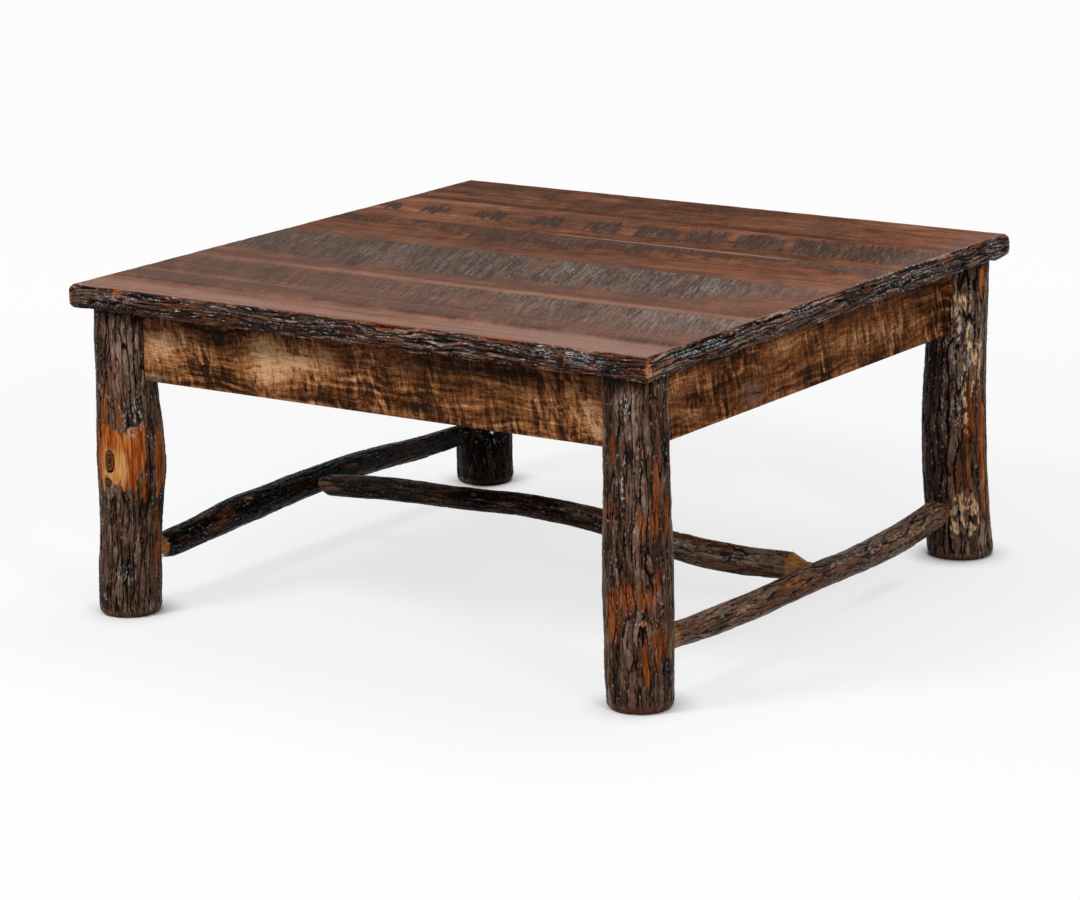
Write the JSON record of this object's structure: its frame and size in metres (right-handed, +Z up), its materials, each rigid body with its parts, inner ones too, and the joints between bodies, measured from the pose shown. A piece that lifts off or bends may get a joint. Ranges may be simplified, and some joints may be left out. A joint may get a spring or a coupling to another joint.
{
  "type": "rustic log coffee table",
  "caption": "Low square coffee table with a rough-sawn planked top, bark-on half-log edging, plank aprons, bark-on log legs and an H of arched log stretchers.",
  "frame": {"origin": "on the floor under the middle of the top", "axes": "+Z up, +X along the planks of the top, +Y towards the back edge, away from the widest plank"},
  "size_m": [0.9304, 0.9304, 0.457],
  "materials": {
    "stained_plank": "rough-sawn reclaimed plank, brown stain under a satin clear coat",
    "hickory_bark": "bark-on hickory log under a glossy clear coat",
    "rough_sawn_apron": "rough-sawn board, golden brown stain, clear coat",
    "hidden_hardwood": "planed hardwood, clear coat",
    "steel_fastener": "zinc-plated steel"
  },
  "bodies": {
    "root": {"top_plank_1": "stained_plank", "top_plank_2": "stained_plank", "top_plank_3": "stained_plank", "top_plank_4": "stained_plank", "top_plank_5": "stained_plank", "edge_log_front": "hickory_bark", "edge_log_right": "hickory_bark", "edge_log_back": "hickory_bark", "edge_log_left": "hickory_bark", "leg_left": "hickory_bark", "leg_front": "hickory_bark", "leg_right": "hickory_bark", "leg_back": "hickory_bark", "side_stretcher_left": "hickory_bark", "side_stretcher_right": "hickory_bark", "centre_stretcher": "hickory_bark", "apron_front": "rough_sawn_apron", "apron_right": "rough_sawn_apron", "apron_back": "rough_sawn_apron", "apron_left": "rough_sawn_apron", "batten_left": "hidden_hardwood", "batten_right": "hidden_hardwood", "corner_block_left": "hidden_hardwood", "corner_block_front": "hidden_hardwood", "corner_block_right": "hidden_hardwood", "corner_block_back": "hidden_hardwood", "top_dowels": "hidden_hardwood", "batten_screws": "steel_fastener", "bracket_screws": "steel_fastener", "corner_block_screws": "steel_fastener", "leg_lag_bolts": "steel_fastener", "leg_bolt_washers": "steel_fastener", "top_brackets": "steel_fastener", "edge_nails": "steel_fastener", "stretcher_nails": "steel_fastener"}
  },
  "joints": []
}
